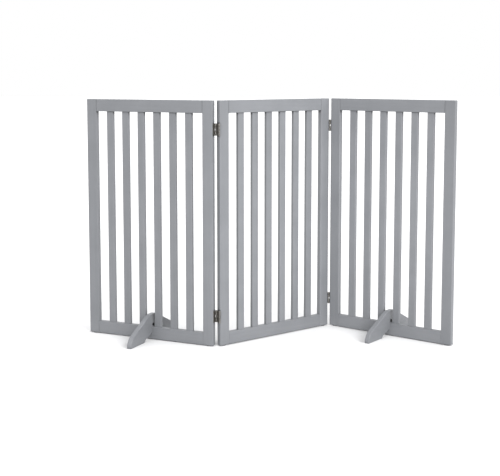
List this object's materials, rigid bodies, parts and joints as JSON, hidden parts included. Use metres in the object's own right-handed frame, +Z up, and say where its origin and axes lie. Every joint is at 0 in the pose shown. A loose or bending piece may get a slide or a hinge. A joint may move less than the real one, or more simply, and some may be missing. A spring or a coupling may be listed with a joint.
{
  "type": "folding pet gate",
  "caption": "Free-standing folding pet gate: slatted painted wooden panels joined by double-action hinges, with support feet that straddle the bottom rails.",
  "frame": {"origin": "on the floor under the middle of the gate's footprint, in the half-folded zigzag pose", "axes": "+X along the gate from its left panel to its right panel, +Y from its front to its back, +Z up"},
  "size_m": [1.3842, 0.3744, 0.917],
  "materials": {
    "painted_wood": "satin mid-grey paint over fine-grained softwood",
    "hinge_metal": "dark oil-rubbed bronze plating",
    "screw_steel": "dark bronze plated steel",
    "dowel_beech": "bare beech",
    "glide_plastic": "grey moulded nylon",
    "bumper_rubber": "matt black rubber"
  },
  "bodies": {
    "middle_panel": {"left_joint_lower_middle_leaf": "hinge_metal", "left_joint_middle_screws": "screw_steel", "left_joint_upper_middle_leaf": "hinge_metal", "middle_panel_bottom_rail": "painted_wood", "middle_panel_dowels": "dowel_beech", "middle_panel_glides": "glide_plastic", "middle_panel_left_stile": "painted_wood", "middle_panel_right_stile": "painted_wood", "middle_panel_slat_1": "painted_wood", "middle_panel_slat_2": "painted_wood", "middle_panel_slat_3": "painted_wood", "middle_panel_slat_4": "painted_wood", "middle_panel_slat_5": "painted_wood", "middle_panel_slat_6": "painted_wood", "middle_panel_top_rail": "painted_wood", "right_joint_lower_middle_leaf": "hinge_metal", "right_joint_middle_screws": "screw_steel", "right_joint_upper_middle_leaf": "hinge_metal"},
    "left_link": {"left_joint_lower_centre_leaf": "hinge_metal", "left_joint_lower_pins": "hinge_metal", "left_joint_upper_centre_leaf": "hinge_metal", "left_joint_upper_pins": "hinge_metal"},
    "left_panel": {"left_joint_left_screws": "screw_steel", "left_joint_lower_left_leaf": "hinge_metal", "left_joint_upper_left_leaf": "hinge_metal", "left_panel_bottom_rail": "painted_wood", "left_panel_dowels": "dowel_beech", "left_panel_glides": "glide_plastic", "left_panel_left_stile": "painted_wood", "left_panel_right_stile": "painted_wood", "left_panel_slat_1": "painted_wood", "left_panel_slat_2": "painted_wood", "left_panel_slat_3": "painted_wood", "left_panel_slat_4": "painted_wood", "left_panel_slat_5": "painted_wood", "left_panel_slat_6": "painted_wood", "left_panel_top_rail": "painted_wood"},
    "right_link": {"right_joint_lower_centre_leaf": "hinge_metal", "right_joint_lower_pins": "hinge_metal", "right_joint_upper_centre_leaf": "hinge_metal", "right_joint_upper_pins": "hinge_metal"},
    "right_panel": {"right_joint_lower_right_leaf": "hinge_metal", "right_joint_right_screws": "screw_steel", "right_joint_upper_right_leaf": "hinge_metal", "right_panel_bottom_rail": "painted_wood", "right_panel_dowels": "dowel_beech", "right_panel_glides": "glide_plastic", "right_panel_left_stile": "painted_wood", "right_panel_right_stile": "painted_wood", "right_panel_slat_1": "painted_wood", "right_panel_slat_2": "painted_wood", "right_panel_slat_3": "painted_wood", "right_panel_slat_4": "painted_wood", "right_panel_slat_5": "painted_wood", "right_panel_slat_6": "painted_wood", "right_panel_top_rail": "painted_wood"},
    "left_foot": {"left_foot_board": "painted_wood", "left_foot_bumpers": "bumper_rubber"},
    "right_foot": {"right_foot_board": "painted_wood", "right_foot_bumpers": "bumper_rubber"}
  },
  "joints": [
    {"name": "left_panel_swings_forward", "type": "hinge", "parent": "middle_panel", "child": "left_link", "pos_m": [-0.18116, -0.16108, 0], "axis": [0, 0, 1], "range_deg": [0, 145]},
    {"name": "left_panel_folds_back", "type": "hinge", "parent": "left_link", "child": "left_panel", "pos_m": [-0.19434, -0.14347, 0], "axis": [0, 0, -1], "range_deg": [-62.6, 82.4]},
    {"name": "right_panel_swings_back", "type": "hinge", "parent": "middle_panel", "child": "right_link", "pos_m": [0.24366, 0.1842, 0], "axis": [0, 0, 1], "range_deg": [0, 145]},
    {"name": "right_panel_folds_forward", "type": "hinge", "parent": "right_link", "child": "right_panel", "pos_m": [0.25684, 0.16658, 0], "axis": [0, 0, -1], "range_deg": [-75.7, 69.3]},
    {"name": "left_foot_lifts_off", "type": "slide", "parent": "left_panel", "child": "left_foot", "axis": [0, 0, 1], "range_m": [0, 0.1]},
    {"name": "right_foot_lifts_off", "type": "slide", "parent": "right_panel", "child": "right_foot", "axis": [0, 0, 1], "range_m": [0, 0.1]}
  ]
}
